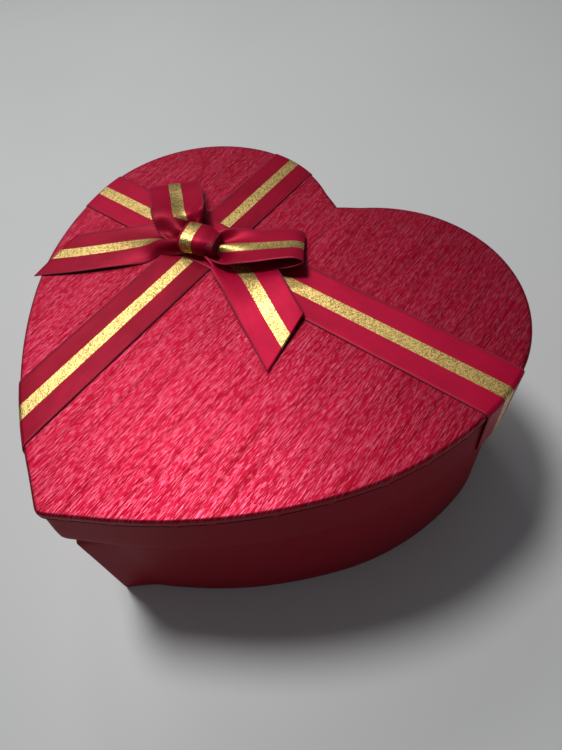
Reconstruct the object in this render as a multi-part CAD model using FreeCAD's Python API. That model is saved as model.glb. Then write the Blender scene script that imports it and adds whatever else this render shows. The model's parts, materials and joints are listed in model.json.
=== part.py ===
import FreeCAD, Part
import math
import os
from FreeCAD import Vector

# A heart-shaped set-up gift box with a lift-off lid, two crossing ribbons and a bow.
# Millimetres and degrees. Z is up from the table, the heart's tip points to -Y, its cleft to +Y.

# Heart outline of the lid's top panel, paper included
heart_width = 218.0
heart_length = 198.5
cleft_depth = 21.0
shoulder_radius = 128.0
shoulder_start = 6.0
shoulder_sweep = 31.4
tip_radius = 6.0

# Heights
box_height = 100.0
rim_height = 30.0

# Boards
top_board = 2.0
rim_board = 1.2
wall_board = 1.5
floor_board = 2.0
seam_gap = 0.4

# Papers, tape and glue
top_paper = 0.3
wrap_paper = 0.25
lining_paper = 0.25
tape_paper = 0.12
tape_width = 24.0
glue_line = 0.05

# Lid panel and fit of the lid
panel_overhang = 0.8
panel_edge_radius = 1.0
lid_clearance = 0.75

# Turned-in paper and its snipped tabs
wrap_turn_in = 14.0
tab_depth = 12.0
tab_pitch = 18.0
notch_width = 3.0
notch_apex = 0.5
underside_margin = 1.5

# Ribbon
ribbon_width = 25.0
ribbon_thickness = 0.35
stripe_width = 5.7
foil = 0.08
foil_gap = 0.02
ribbon_tuck = 10.0
lengthwise_ribbon_x = -36.7
cross_ribbon_y = 30.8

# Knot of the bow, placed from the ribbons' crossing
knot_shift_x = 1.7
knot_shift_y = -4.8
knot_turn = 15.0
gather_length = 17.0
gather_depth = 11.0
gather_height = 6.5
gather_rounding = 2.5
knot_band_width = 15.0
knot_stripe_shift = -4.5
knot_gap = 0.1
glue_dab_radius = 4.5
glue_dab_height = 0.6

# Loops and tails of the bow. Each starts at a point from the knot's centre, on its own heading.
root_width = 8.0
taper_length = 18.0
loop_clearance = 0.2
loop_root_height = 4.0
right_loop_start = (4.0, -1.0)
right_loop_heading = 29.7
right_loop_length = 43.4
right_loop_radius = 4.5
right_loop_roll = 12.0
back_loop_start = (-2.0, -2.0)
back_loop_heading = 144.6
back_loop_length = 41.1
back_loop_radius = 5.0
back_loop_roll = 0.0
left_tail_start = (-6.0, 0.0)
left_tail_heading = 217.0
left_tail_shift = 0.0
left_tail_left_side = 72.4
left_tail_right_side = 58.9
front_tail_start = (3.0, 0.5)
front_tail_heading = -28.5
front_tail_shift = 9.7
front_tail_left_side = 54.6
front_tail_right_side = 73.0

# Lid levels, from the top down
lid_top = box_height
top_board_top = lid_top - top_paper - glue_line
top_board_bottom = top_board_top - top_board
panel_bottom = top_board_bottom - glue_line - top_paper
rim_top = panel_bottom - glue_line
rim_board_top = rim_top - wrap_paper - glue_line
ceiling_bottom = rim_board_top - lining_paper
rim_bottom = lid_top - rim_height

# Base levels, from the table up. The lid's ceiling rests on the base's top edge.
base_top = ceiling_bottom
tabs_bottom = wrap_paper + glue_line
floor_bottom = tabs_bottom + wrap_paper + glue_line
floor_top = floor_bottom + floor_board
floor_lining_top = floor_top + glue_line + lining_paper

# Insets of the layers from the panel's outline, from the outside in
lining_gap = glue_line + tape_paper + glue_line
rim_outside = panel_overhang
rim_board_outside = rim_outside + wrap_paper + glue_line
rim_board_inside = rim_board_outside + rim_board
rim_turn_inside = rim_board_inside + glue_line + wrap_paper
rim_lining_outside = rim_board_inside + lining_gap
rim_lining_inside = rim_lining_outside + lining_paper
base_outside = rim_lining_inside + lid_clearance
wall_outside = base_outside + wrap_paper + glue_line
wall_inside = wall_outside + wall_board
wall_turn_inside = wall_inside + glue_line + wrap_paper
wall_lining_outside = wall_inside + lining_gap
wall_lining_inside = wall_lining_outside + lining_paper

# Ribbon layers above the panel: the cross ribbon lies on the lengthwise one, the bow on both
striped_ribbon = ribbon_thickness + foil_gap + foil
lengthwise_lift = glue_line
cross_lift = lengthwise_lift + striped_ribbon + glue_line
bow_level = lid_top + cross_lift + striped_ribbon + glue_line
loop_level = bow_level + striped_ribbon + loop_clearance
tuck_outside = rim_turn_inside + glue_line
tuck_inside = tuck_outside + ribbon_thickness

# The knot band goes round the gather, its stripe outside
band_base = bow_level + glue_dab_height + glue_line + foil_gap + foil
gather_base = band_base + ribbon_thickness + glue_line
knot_centre = Vector(lengthwise_ribbon_x + knot_shift_x, cross_ribbon_y + knot_shift_y, 0)
knot_half_length = gather_length / 2 + knot_gap
knot_half_depth = gather_depth / 2 + glue_line + striped_ribbon + knot_gap

beyond = heart_width + heart_length


def unit(angle):
    return Vector(math.cos(angle), math.sin(angle), 0)


def mirrored(point):
    return Vector(-point.x, point.y, point.z)


def half_outline(inset, depth=0):
    """Arcs of the heart's right half from cleft to tip: centre, radius, first angle, last angle.

    The outline lies inset from the panel's, with a sharp cleft. A depth takes it further in, round the cleft.
    """
    half_width = heart_width / 2
    lobe_radius = cleft_depth + half_width - math.sqrt(cleft_depth * heart_width)
    lobe = Vector(half_width - lobe_radius, heart_length / 2 - lobe_radius, 0)
    shoulder_angle = -math.radians(shoulder_start)
    side_angle = shoulder_angle - math.radians(shoulder_sweep)
    shoulder = lobe + unit(shoulder_angle) * (lobe_radius - shoulder_radius)
    side_point = shoulder + unit(side_angle) * shoulder_radius
    tip = Vector(0, tip_radius - heart_length / 2, 0)
    span = side_point - tip
    side_radius = (span.dot(span) - tip_radius**2) / (2 * (span.dot(unit(side_angle)) - tip_radius))
    side = side_point - unit(side_angle) * side_radius
    tip_angle = math.atan2(tip.y - side.y, tip.x - side.x)
    cleft_angle = math.acos(-lobe.x / (lobe_radius - inset))
    cleft = lobe + unit(cleft_angle) * (lobe_radius - inset)
    total = inset + depth
    sharp_tip = total >= tip_radius
    if sharp_tip:
        tip_angle = -math.acos(-side.x / (side_radius - total))
    arcs = [
        (lobe, lobe_radius - total, cleft_angle, shoulder_angle),
        (shoulder, shoulder_radius - total, shoulder_angle, side_angle),
        (side, side_radius - total, side_angle, tip_angle),
    ]
    if depth > 0:
        arcs.insert(0, (cleft, depth, -math.pi / 2, cleft_angle - math.pi))
    if not sharp_tip:
        arcs.append((tip, tip_radius - total, tip_angle, -math.pi / 2))
    return arcs


def cleft_and_tip(inset, depth=0):
    arcs = half_outline(inset, depth)
    centre, radius, cleft_angle, _ = arcs[0]
    cleft = centre + unit(cleft_angle) * radius
    centre, radius, _, tip_angle = arcs[-1]
    return cleft, centre + unit(tip_angle) * radius


def heart_wire(height, inset, depth=0):
    right = []
    left = []
    for centre, radius, first, last in half_outline(inset, depth):
        points = [centre + unit(angle) * radius for angle in (first, (first + last) / 2, last)]
        points = [Vector(point.x, point.y, height) for point in points]
        right.append(Part.Arc(*points).toShape())
        left.append(Part.Arc(*[mirrored(point) for point in reversed(points)]).toShape())
    return Part.Wire(right + left[::-1])


def heart_prism(low, high, inset, depth=0):
    return Part.Face(heart_wire(low, inset, depth)).extrude(Vector(0, 0, high - low))


def heart_ring(low, high, outer_inset, inner_inset):
    return heart_prism(low, high, outer_inset).cut(heart_prism(low, high, inner_inset))


def rounded_heart(low, high, inset, radius, rounded_levels):
    """Heart prism with its edges rounded at the given levels."""
    prism = heart_prism(low, high, inset)
    edges = []
    for edge in prism.Edges:
        heights = [vertex.Z for vertex in edge.Vertexes]
        if any(max(abs(height - level) for height in heights) < 1e-6 for level in rounded_levels):
            edges.append(edge)
    return prism.makeFillet(radius, edges)


def box(low, high):
    size = high - low
    return Part.makeBox(size.x, size.y, size.z, low)


def plan_prism(points, low, high):
    corners = [Vector(x, y, low) for x, y in points]
    return Part.Face(Part.makePolygon(corners + corners[:1])).extrude(Vector(0, 0, high - low))


def cleft_zone(width, low, high):
    return box(Vector(-width / 2, 0, low), Vector(width / 2, beyond, high))


# Paper turned under in snipped tabs

def notch(spot, inward, reach, low, high):
    across = Vector(-inward.y, inward.x, 0) * (notch_width / 2)
    apex = spot + inward * notch_apex
    root = spot + inward * reach
    corners = [apex, root + across, root - across]
    return plan_prism([(corner.x, corner.y) for corner in corners], low, high)


def tab_notches(inset, low, high):
    """V-shaped snips where the tabs have their full depth, with a mitre at the cleft and one at the tip."""
    reach = tab_depth + notch_apex
    cutters = []
    for centre, inner_radius, first, last in half_outline(inset, tab_depth)[1:4]:
        radius = inner_radius + tab_depth
        count = max(1, round(radius * (first - last) / tab_pitch))
        for index in range(count):
            outward = unit(first + (last - first) * (index + 0.5) / count)
            spot = centre + outward * radius
            cutters.append(notch(spot, -outward, reach, low, high))
            cutters.append(notch(mirrored(spot), mirrored(-outward), reach, low, high))
    for spot, inner_spot in zip(cleft_and_tip(inset), cleft_and_tip(inset, tab_depth)):
        inward = inner_spot - spot
        reach = inward.Length + notch_apex
        cutters.append(notch(spot, inward.normalize(), reach, low, high))
    return cutters


def wall_wrap(outside, turn_inside, fold, tabs):
    """Paper round a wall: folded over the board's edge at one height, snipped into tabs at the other."""
    inward = 1 if fold > tabs else -1
    fold_inner = fold - inward * wrap_paper
    tabs_inner = tabs + inward * wrap_paper
    fold_span = sorted((fold, fold_inner))
    tabs_span = sorted((tabs, tabs_inner))
    skin = heart_prism(*sorted((fold, tabs)), outside)
    skin = skin.cut(heart_prism(*sorted((fold_inner, tabs_inner)), outside + wrap_paper))
    skin = skin.cut(heart_prism(*fold_span, turn_inside))
    skin = skin.cut([heart_prism(*tabs_span, outside, tab_depth)] + tab_notches(outside, *tabs_span))
    turn_end = fold - inward * wrap_turn_in
    turn = heart_ring(*sorted((fold, turn_end)), turn_inside - wrap_paper, turn_inside)
    return skin.fuse(turn).removeSplitter()


def strip_board(low, high, outside, inside):
    """A board strip bent round the heart, its two ends meeting in the cleft."""
    return heart_ring(low, high, outside, inside).cut(cleft_zone(seam_gap, low, high))


def seam_tape(low, high, board_inside):
    outside = board_inside + glue_line
    return heart_ring(low, high, outside, outside + tape_paper).common(cleft_zone(tape_width, low, high))


# Base

def base_pieces():
    wall_top = base_top - wrap_paper - glue_line
    lining_top = base_top - wrap_turn_in - glue_line
    lining_foot = floor_lining_top + glue_line
    return {
        "base_underside_sheet": heart_prism(0, wrap_paper, base_outside + underside_margin),
        "base_floor_board": heart_prism(floor_bottom, floor_top, wall_inside + glue_line),
        "base_wall_board": strip_board(floor_bottom, wall_top, wall_outside, wall_inside),
        "base_seam_tape": seam_tape(lining_foot, lining_top, wall_inside),
        "base_wall_wrap": wall_wrap(base_outside, wall_turn_inside, base_top, tabs_bottom),
        "base_wall_lining": heart_ring(lining_foot, lining_top, wall_lining_outside, wall_lining_inside),
        "base_floor_lining": heart_prism(floor_top + glue_line, floor_lining_top, wall_inside + glue_line),
    }


# Lid

def panel_wrap():
    """Paper over the panel board, round its edge and turned under in snipped tabs."""
    inner_low = panel_bottom + top_paper
    inner_high = lid_top - top_paper
    skin = rounded_heart(panel_bottom, lid_top, 0, panel_edge_radius, (panel_bottom, lid_top))
    hollow_radius = panel_edge_radius - top_paper
    skin = skin.cut(rounded_heart(inner_low, inner_high, top_paper, hollow_radius, (inner_low, inner_high)))
    opening = heart_prism(panel_bottom, inner_low, 0, tab_depth)
    return skin.cut([opening] + tab_notches(0, panel_bottom, inner_low))


def panel_board():
    levels = (top_board_bottom, top_board_top)
    inset = top_paper + glue_line
    return rounded_heart(*levels, inset, panel_edge_radius - inset, levels)


def lid_pieces():
    rim_foot = rim_bottom + wrap_paper + glue_line
    lining_foot = rim_bottom + wrap_turn_in + glue_line
    lining_top = ceiling_bottom - glue_line
    return {
        "lid_top_wrap": panel_wrap(),
        "lid_top_board": panel_board(),
        "lid_rim_board": strip_board(rim_foot, rim_board_top, rim_board_outside, rim_board_inside),
        "lid_seam_tape": seam_tape(lining_foot, lining_top, rim_board_inside),
        "lid_rim_wrap": wall_wrap(rim_outside, rim_turn_inside, rim_bottom, rim_top),
        "lid_rim_lining": heart_ring(lining_foot, lining_top, rim_lining_outside, rim_lining_inside),
        "lid_ceiling_lining": heart_prism(ceiling_bottom, rim_board_top, rim_lining_outside),
    }


# Ribbons over the lid

def lid_shell(lift):
    """The closed lid's outside, grown by lift."""
    low = rim_bottom - lift
    high = lid_top + lift
    return rounded_heart(low, high, -lift, panel_edge_radius + lift, (high,))


def outline_normals(coordinate, axis):
    """Outward normals of the heart's right half where it has this x (axis 0) or y (axis 1), lowest first."""
    found = []
    for centre, radius, first, last in half_outline(0):
        ratio = (coordinate - centre[axis]) / radius
        if abs(ratio) > 1:
            continue
        angles = (math.acos(ratio), -math.acos(ratio)) if axis == 0 else (math.asin(ratio),)
        for angle in angles:
            if last <= angle <= first:
                found.append((centre.y + radius * math.sin(angle), unit(angle)))
    return [normal for height, normal in sorted(found, key=lambda pair: pair[0])]


def leaning_strip(centre, width, corners, way):
    """Zone along Y, from the middle of the lid towards one end, whose sides follow (height, shift) corners."""
    right = [Vector(centre + width / 2 + shift, 0, height) for height, shift in corners]
    left = [Vector(centre - width / 2 + shift, 0, height) for height, shift in reversed(corners)]
    outline = right + left
    return Part.Face(Part.makePolygon(outline + outline[:1])).extrude(Vector(0, way * beyond, 0))


def ribbon_zones(centre, width, lift, leans, quarter_turn):
    """Zones of a ribbon outside and inside the rim.

    A flat ribbon that meets a slanting edge runs down the rim at the mirrored slant, so its zone leans.
    """
    bend = lid_top - panel_edge_radius
    heel = rim_bottom - lift
    foot = heel - striped_ribbon
    head = rim_bottom + ribbon_tuck
    outside = []
    inside = []
    for lean, way in zip(leans, (-1, 1)):
        drop = lean * (bend - heel)
        rise = drop + lean * (head - heel)
        run = [(lid_top + lift + striped_ribbon, 0), (bend, 0), (heel, drop), (foot, drop)]
        tuck = [(head, rise), (heel, drop), (foot, drop)]
        outside.append(leaning_strip(centre, width, run, way))
        inside.append(leaning_strip(centre, width, tuck, way))
    zones = [outside[0].fuse(outside[1]).removeSplitter()] + inside
    if quarter_turn:
        for zone in zones:
            zone.rotate(Vector(0, 0, 0), Vector(0, 0, 1), 90)
    return zones


def lid_ribbon(centre, lift, leans, quarter_turn):
    """Ribbon and foil stripe: across the panel, down the rim at both ends and tucked up inside it."""
    zones = ribbon_zones(centre, ribbon_width, lift, leans, quarter_turn)
    foot = rim_bottom - lift - ribbon_thickness
    hollow = heart_prism(foot, rim_bottom, tuck_inside)
    skin = lid_shell(lift + ribbon_thickness).cut([lid_shell(lift), hollow])
    ribbon = skin.common(zones[0])
    tuck_ring = heart_ring(foot, rim_bottom + ribbon_tuck, tuck_outside, tuck_inside)
    ribbon = ribbon.fuse([tuck_ring.common(zone) for zone in zones[1:]]).removeSplitter()
    stripe_low = lift + ribbon_thickness + foil_gap
    below = box(Vector(-beyond, -beyond, foot - striped_ribbon), Vector(beyond, beyond, foot))
    skin = lid_shell(stripe_low + foil).cut([lid_shell(stripe_low), below])
    stripe_zones = ribbon_zones(centre, stripe_width, lift, leans, quarter_turn)
    return ribbon, skin.common(stripe_zones[0])


def ribbon_pieces():
    across = outline_normals(abs(lengthwise_ribbon_x), 0)
    side = math.copysign(1, lengthwise_ribbon_x)
    lengthwise_leans = (-side * across[0].x, -side * across[-1].x)
    end_normal = outline_normals(cross_ribbon_y, 1)[-1]
    cross_leans = (-end_normal.y, -end_normal.y)
    lengthwise = lid_ribbon(lengthwise_ribbon_x, lengthwise_lift, lengthwise_leans, False)
    cross = lid_ribbon(cross_ribbon_y, cross_lift, cross_leans, True)
    return {
        "lengthwise_ribbon": lengthwise[0],
        "lengthwise_ribbon_stripe": lengthwise[1],
        "cross_ribbon": cross[0],
        "cross_ribbon_stripe": cross[1],
    }


# Bow

def placed(shape, start, heading, level):
    """Turn a piece made along X onto its heading and set it at its start from the knot's centre."""
    turned = shape.copy()
    turned.rotate(Vector(0, 0, 0), Vector(0, 0, 1), heading)
    turned.translate(knot_centre + Vector(start[0], start[1], level))
    return turned


def knot_envelope():
    low = Vector(-knot_half_length, -knot_half_depth, bow_level - lid_top)
    high = Vector(knot_half_length, knot_half_depth, gather_base + gather_height + gather_length)
    return placed(box(low, high), (0, 0), knot_turn, 0)


def loop_area(length, radius, inset, root):
    """Side view of a loop, inset from its outside: flat below, round at the end, a straight run back above."""
    end = Vector(length - radius, 0, radius)
    back = Vector(0, 0, loop_root_height) - end
    tangent = math.atan2(back.z, back.x) % (2 * math.pi) - math.acos(radius / back.Length)
    way_back = Vector(-math.sin(tangent), 0, math.cos(tangent))
    angles = (-math.pi / 2, (tangent - math.pi / 2) / 2, tangent)
    bend = [end + Vector(math.cos(a), 0, math.sin(a)) * (radius - inset) for a in angles]
    below = Vector(root, 0, inset)
    above = bend[2] + way_back * ((root - bend[2].x) / way_back.x)
    edges = [
        Part.LineSegment(below, bend[0]).toShape(),
        Part.Arc(*bend).toShape(),
        Part.LineSegment(bend[2], above).toShape(),
        Part.LineSegment(above, below).toShape(),
    ]
    return Part.Face(Part.Wire(edges))


def loop_strip(length, radius, outer, inner, width):
    """Strip of ribbon or foil bent into a loop, between two insets from the ribbon's outside."""
    area = loop_area(length, radius, outer, 0).cut(loop_area(length, radius, inner, -root_width))
    strip = area.extrude(Vector(0, width, 0))
    strip.translate(Vector(0, -width / 2, 0))
    half_root = root_width / 2
    half_width = ribbon_width / 2
    plan = [(0, -half_root), (taper_length, -half_width), (length + radius, -half_width)]
    plan += [(x, -y) for x, y in reversed(plan)]
    return strip.common(plan_prism(plan, -striped_ribbon, 2 * radius + striped_ribbon))


def loop_pieces(start, heading, length, radius, roll):
    """A loop and its stripe, rolled about its length and lifted so that its low edge stays on its level."""
    stripe_inset = -foil_gap
    ribbon = loop_strip(length, radius, 0, ribbon_thickness, ribbon_width)
    stripe = loop_strip(length, radius, stripe_inset - foil, stripe_inset, stripe_width)
    lift = ribbon_width / 2 * math.sin(math.radians(abs(roll)))
    pieces = []
    for strip in (ribbon, stripe):
        strip.rotate(Vector(0, 0, 0), Vector(1, 0, 0), -roll)
        pieces.append(placed(strip, start, heading, loop_level + lift).cut(knot_envelope()))
    return pieces


def tail_pieces(start, heading, shift, left_side, right_side):
    """A tail laid flat, narrow at the knot, shifted to one side of it, its end cut on the slant, and its stripe."""
    half_root = root_width / 2
    right = shift - ribbon_width / 2
    left = shift + ribbon_width / 2
    plan = [
        (0, -half_root),
        (taper_length, right),
        (right_side, right),
        (left_side, left),
        (taper_length, left),
        (0, half_root),
    ]
    ribbon = plan_prism(plan, 0, ribbon_thickness)
    stripe_low = ribbon_thickness + foil_gap
    stripe = plan_prism(plan, stripe_low, stripe_low + foil)
    low = Vector(0, shift - stripe_width / 2, 0)
    stripe = stripe.common(box(low, low + Vector(beyond, stripe_width, beyond)))
    return [placed(piece, start, heading, bow_level).cut(knot_envelope()) for piece in (ribbon, stripe)]


def band_area(inset):
    """Side view of the knot band's outside, inset from it."""
    half = gather_depth / 2 + glue_line + ribbon_thickness - inset
    low = band_base + inset
    high = gather_base + gather_height + glue_line + ribbon_thickness - inset
    corners = [(-half, low), (half, low), (half, high), (-half, high)]
    points = [Vector(0, y, z) for y, z in corners]
    block = Part.Face(Part.makePolygon(points + points[:1])).extrude(Vector(1, 0, 0))
    rounding = gather_rounding + glue_line + ribbon_thickness - inset
    long_edges = [edge for edge in block.Edges if abs(edge.Vertexes[0].X - edge.Vertexes[1].X) > 0.5]
    rounded = block.makeFillet(rounding, long_edges)
    return min(rounded.Faces, key=lambda face: face.CenterOfMass.x)


def band_strip(outer, inner, width, shift):
    ring = band_area(outer).cut(band_area(inner)).extrude(Vector(width, 0, 0))
    ring.translate(Vector(shift - width / 2, 0, 0))
    return placed(ring, (0, 0), knot_turn, 0)


def knot_pieces():
    low = Vector(-gather_length / 2, -gather_depth / 2, gather_base)
    gather = box(low, low + Vector(gather_length, gather_depth, gather_height))
    long_edges = [edge for edge in gather.Edges if abs(edge.Vertexes[0].X - edge.Vertexes[1].X) > 0.5]
    gather = gather.makeFillet(gather_rounding, long_edges)
    dab = Part.makeCylinder(glue_dab_radius, glue_dab_height, Vector(0, 0, bow_level))
    return {
        "bow_glue_dab": placed(dab, (0, 0), knot_turn, 0),
        "bow_gather": placed(gather, (0, 0), knot_turn, 0),
        "bow_knot_band": band_strip(0, ribbon_thickness, knot_band_width, 0),
        "bow_knot_band_stripe": band_strip(-foil_gap - foil, -foil_gap, stripe_width, knot_stripe_shift),
    }


def bow_pieces():
    right = loop_pieces(
        right_loop_start, right_loop_heading, right_loop_length, right_loop_radius, right_loop_roll
    )
    back = loop_pieces(back_loop_start, back_loop_heading, back_loop_length, back_loop_radius, back_loop_roll)
    left = tail_pieces(
        left_tail_start, left_tail_heading, left_tail_shift, left_tail_left_side, left_tail_right_side
    )
    front = tail_pieces(
        front_tail_start, front_tail_heading, front_tail_shift, front_tail_left_side, front_tail_right_side
    )
    pieces = knot_pieces()
    named = {"bow_right_loop": right, "bow_back_loop": back, "bow_left_tail": left, "bow_front_tail": front}
    for name, (ribbon, stripe) in named.items():
        pieces[name] = ribbon
        pieces[name + "_stripe"] = stripe
    return pieces


os.makedirs("parts", exist_ok=True)
for pieces in (base_pieces(), lid_pieces(), ribbon_pieces(), bow_pieces()):
    for node, shape in pieces.items():
        solids = shape.Solids
        print(node, len(solids), shape.isValid(), round(shape.Volume, 1))
        whole = solids[0] if len(solids) == 1 else Part.makeCompound(solids)
        whole.exportStep("parts/" + node + ".step")
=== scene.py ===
# %% [markdown]
# A heart-shaped gift box, from bare frame to finished picture.
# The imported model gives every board, paper and ribbon at its real size and place. This lesson keeps
# that frame untouched and dresses it: papers get their folds and snips, ribbons become real strips of
# satin with a foil stripe, and each surface gets a finish built from shader nodes.

# %% Load the frame
import json
import math

import bmesh
import bpy
from mathutils import Matrix, Vector, noise


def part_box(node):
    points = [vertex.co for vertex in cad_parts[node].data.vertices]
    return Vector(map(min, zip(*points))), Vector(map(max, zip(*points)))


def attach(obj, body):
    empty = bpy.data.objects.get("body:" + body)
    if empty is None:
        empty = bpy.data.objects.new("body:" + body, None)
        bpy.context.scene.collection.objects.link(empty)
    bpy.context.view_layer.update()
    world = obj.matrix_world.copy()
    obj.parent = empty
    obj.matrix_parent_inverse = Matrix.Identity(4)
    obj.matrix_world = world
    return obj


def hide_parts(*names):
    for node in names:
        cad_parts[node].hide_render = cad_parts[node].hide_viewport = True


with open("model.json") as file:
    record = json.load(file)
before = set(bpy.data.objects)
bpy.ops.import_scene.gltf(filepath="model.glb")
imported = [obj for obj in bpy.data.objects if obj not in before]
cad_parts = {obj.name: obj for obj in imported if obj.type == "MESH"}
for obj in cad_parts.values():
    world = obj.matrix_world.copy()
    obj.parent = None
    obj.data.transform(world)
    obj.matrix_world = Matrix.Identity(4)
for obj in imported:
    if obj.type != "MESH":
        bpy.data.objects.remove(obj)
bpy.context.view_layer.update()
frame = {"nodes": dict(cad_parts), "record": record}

MM = 0.001

# %% [markdown]
# The camera stands to the right of the heart's tip, looks down at the lid and is rolled a little. Three
# angles and a place fix it, so its axes are worked out from them. A Track To constraint would aim it too,
# but could not roll it. The image is taller than it is wide, so the sensor's 36 mm lie along its height.

# %% Camera
camera_place = Vector((125.04, -96.46, 282.92)) * MM
camera_azimuth = math.radians(45.32)
camera_elevation = math.radians(55.56)
camera_roll = math.radians(-9.57)
camera_lens = 28.0

ahead = Vector((-math.sin(camera_azimuth), math.cos(camera_azimuth), 0))
forward = ahead * math.cos(camera_elevation) - Vector((0, 0, math.sin(camera_elevation)))
level_right = Vector((math.cos(camera_azimuth), math.sin(camera_azimuth), 0))
level_up = level_right.cross(forward)
right = level_right * math.cos(camera_roll) + level_up * math.sin(camera_roll)
up = level_up * math.cos(camera_roll) - level_right * math.sin(camera_roll)

camera_data = bpy.data.cameras.new("camera")
camera_data.lens = camera_lens
camera_data.sensor_width = 36.0
camera_data.clip_start = 0.01
camera = bpy.data.objects.new("camera", camera_data)
bpy.context.scene.collection.objects.link(camera)
turn = Matrix((right, up, -forward)).transposed().to_4x4()
camera.matrix_world = Matrix.Translation(camera_place) @ turn
bpy.context.scene.camera = camera
print("camera at", [round(x, 3) for x in camera.location])

# %% [markdown]
# A pale table and soft light. The main lamp stands high and a little to the left, so the lid is bright,
# a soft shadow falls to the right, and the front of the box lies in shade. A weak broad lamp stands lower
# on the left, where the lid's paper mirrors it towards the camera, and a small weak one behind it gives the
# foil a glint. A dim sky lightens the shade.

# %% Floor and light
floor_size = 4.0


def object_of(name, bm):
    """An object in the scene from a bmesh, which is used up."""
    mesh = bpy.data.meshes.new(name)
    bm.to_mesh(mesh)
    bm.free()
    made = bpy.data.objects.new(name, mesh)
    bpy.context.scene.collection.objects.link(made)
    return made


def soft_lamp(name, place, aim, size, watts):
    data = bpy.data.lights.new(name, "AREA")
    data.shape = "DISK"
    data.size = size
    data.energy = watts
    lamp = bpy.data.objects.new(name, data)
    lamp.location = place
    lamp.rotation_euler = (Vector(aim) - Vector(place)).to_track_quat("-Z", "Y").to_euler()
    bpy.context.scene.collection.objects.link(lamp)


floor_bm = bmesh.new()
bmesh.ops.create_grid(floor_bm, x_segments=4, y_segments=4, size=floor_size / 2)
floor = object_of("floor", floor_bm)

lid_middle = (0, 0, 0.1)
soft_lamp("high_lamp", (-0.36, 0.03, 1.19), lid_middle, size=0.28, watts=8.6)
soft_lamp("shine_lamp", (-0.80, 0.24, 0.93), lid_middle, size=0.5, watts=1.7)
soft_lamp("glint_lamp", (-0.53, 0.52, 1.06), lid_middle, size=0.2, watts=0.9)

sky_colour = (0.80, 0.83, 0.88, 1)
sky_strength = 0.15
world = bpy.data.worlds.new("studio")
world.use_nodes = True
sky = world.node_tree.nodes["Background"]
sky.inputs["Color"].default_value = sky_colour
sky.inputs["Strength"].default_value = sky_strength
bpy.context.scene.world = world
bpy.context.scene.view_settings.view_transform = "Standard"

# %% [markdown]
# Shader nodes are easier to read when one small helper makes each node: it takes the kind of node, its
# settings, and for each input either a number or the output that feeds it. The other helpers are what the
# finishes share: sums and products, a blend of two colours, one range spread over another, noise drawn out
# along a direction, and a net of long cells.

# %% Helpers for materials
def connect(tree, value, socket):
    """Feed a socket from another node's output, or set it to a constant."""
    if isinstance(value, bpy.types.NodeSocket):
        tree.links.new(value, socket)
    else:
        socket.default_value = value


def add(tree, kind, inputs=None, **settings):
    made = tree.nodes.new(kind)
    for name, value in settings.items():
        setattr(made, name, value)
    for name, value in (inputs or {}).items():
        connect(tree, value, made.inputs[name])
    return made


def math_node(tree, operation, *values):
    made = add(tree, "ShaderNodeMath", operation=operation)
    for socket, value in zip(made.inputs, values):
        connect(tree, value, socket)
    return made.outputs[0]


def colour_mix(tree, factor, first, second):
    made = add(tree, "ShaderNodeMix", data_type="RGBA")
    colours = [socket for socket in made.inputs if socket.type == "RGBA"]
    for socket, value in zip([made.inputs["Factor"]] + colours, (factor, first, second)):
        connect(tree, value, socket)
    return next(socket for socket in made.outputs if socket.type == "RGBA")


def spread(tree, value, low, high, new_low=0.0, new_high=1.0):
    inputs = {"Value": value, "From Min": low, "From Max": high, "To Min": new_low, "To Max": new_high}
    return add(tree, "ShaderNodeMapRange", inputs).outputs["Result"]


def new_material(name, **constants):
    material = bpy.data.materials.new(name)
    material.use_nodes = True
    shader = material.node_tree.nodes["Principled BSDF"]
    for socket, value in constants.items():
        shader.inputs[socket.replace("_", " ")].default_value = value
    return material, material.node_tree, shader


def object_place(tree):
    return add(tree, "ShaderNodeTexCoord").outputs["Object"]


def carried(tree, attribute):
    """A number that the mesh carries at each vertex."""
    return add(tree, "ShaderNodeAttribute", attribute_name=attribute).outputs["Fac"]


def scaled(tree, coordinates, scale):
    return add(tree, "ShaderNodeMapping", {"Vector": coordinates, "Scale": scale}).outputs["Vector"]


def stretched_noise(tree, scale, detail, coordinates):
    """Noise whose scale differs from axis to axis."""
    place = scaled(tree, coordinates, scale)
    inputs = {"Vector": place, "Scale": 1.0, "Detail": detail, "Roughness": 0.55}
    return add(tree, "ShaderNodeTexNoise", inputs).outputs["Fac"]


def long_cells(tree, scale, coordinates):
    """A value for each cell of a net of long thin cells."""
    inputs = {"Vector": scaled(tree, coordinates, scale), "Scale": 1.0}
    cells = add(tree, "ShaderNodeTexVoronoi", inputs, voronoi_dimensions="2D").outputs["Color"]
    return add(tree, "ShaderNodeSeparateColor", {"Color": cells}).outputs["Red"]


def bump(tree, shader, height, strength, distance):
    inputs = {"Height": height, "Strength": strength, "Distance": distance}
    tree.links.new(add(tree, "ShaderNodeBump", inputs).outputs["Normal"], shader.inputs["Normal"])


def feed(tree, shader, **outputs):
    for socket, value in outputs.items():
        tree.links.new(value, shader.inputs[socket.replace("_", " ")])


print("node helpers:", [helper.__name__ for helper in (add, math_node, colour_mix, spread)])

# %% [markdown]
# The table is pale and a little glossy. Its colour is nearly even, with a faint cloudiness so that it
# does not look computed.

# %% Table finish
clouds_per_metre = (6, 6, 6)
table_dull = (0.56, 0.57, 0.57, 1)
table_pale = (0.61, 0.61, 0.60, 1)
table, tree, shader = new_material("pale_table", Roughness=0.45)
where = object_place(tree)
cloud = stretched_noise(tree, clouds_per_metre, 2.0, where)
feed(tree, shader, Base_Color=colour_mix(tree, cloud, table_dull, table_pale))
floor.data.materials.append(table)
print("table:", table.name)

# %% [markdown]
# Paper and board share one thing: fibres. A node group makes them once. It takes a place, how fine the
# fibres are and how fine the clouds in the pulp, and gives a value for the colour and one for the relief.

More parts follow.
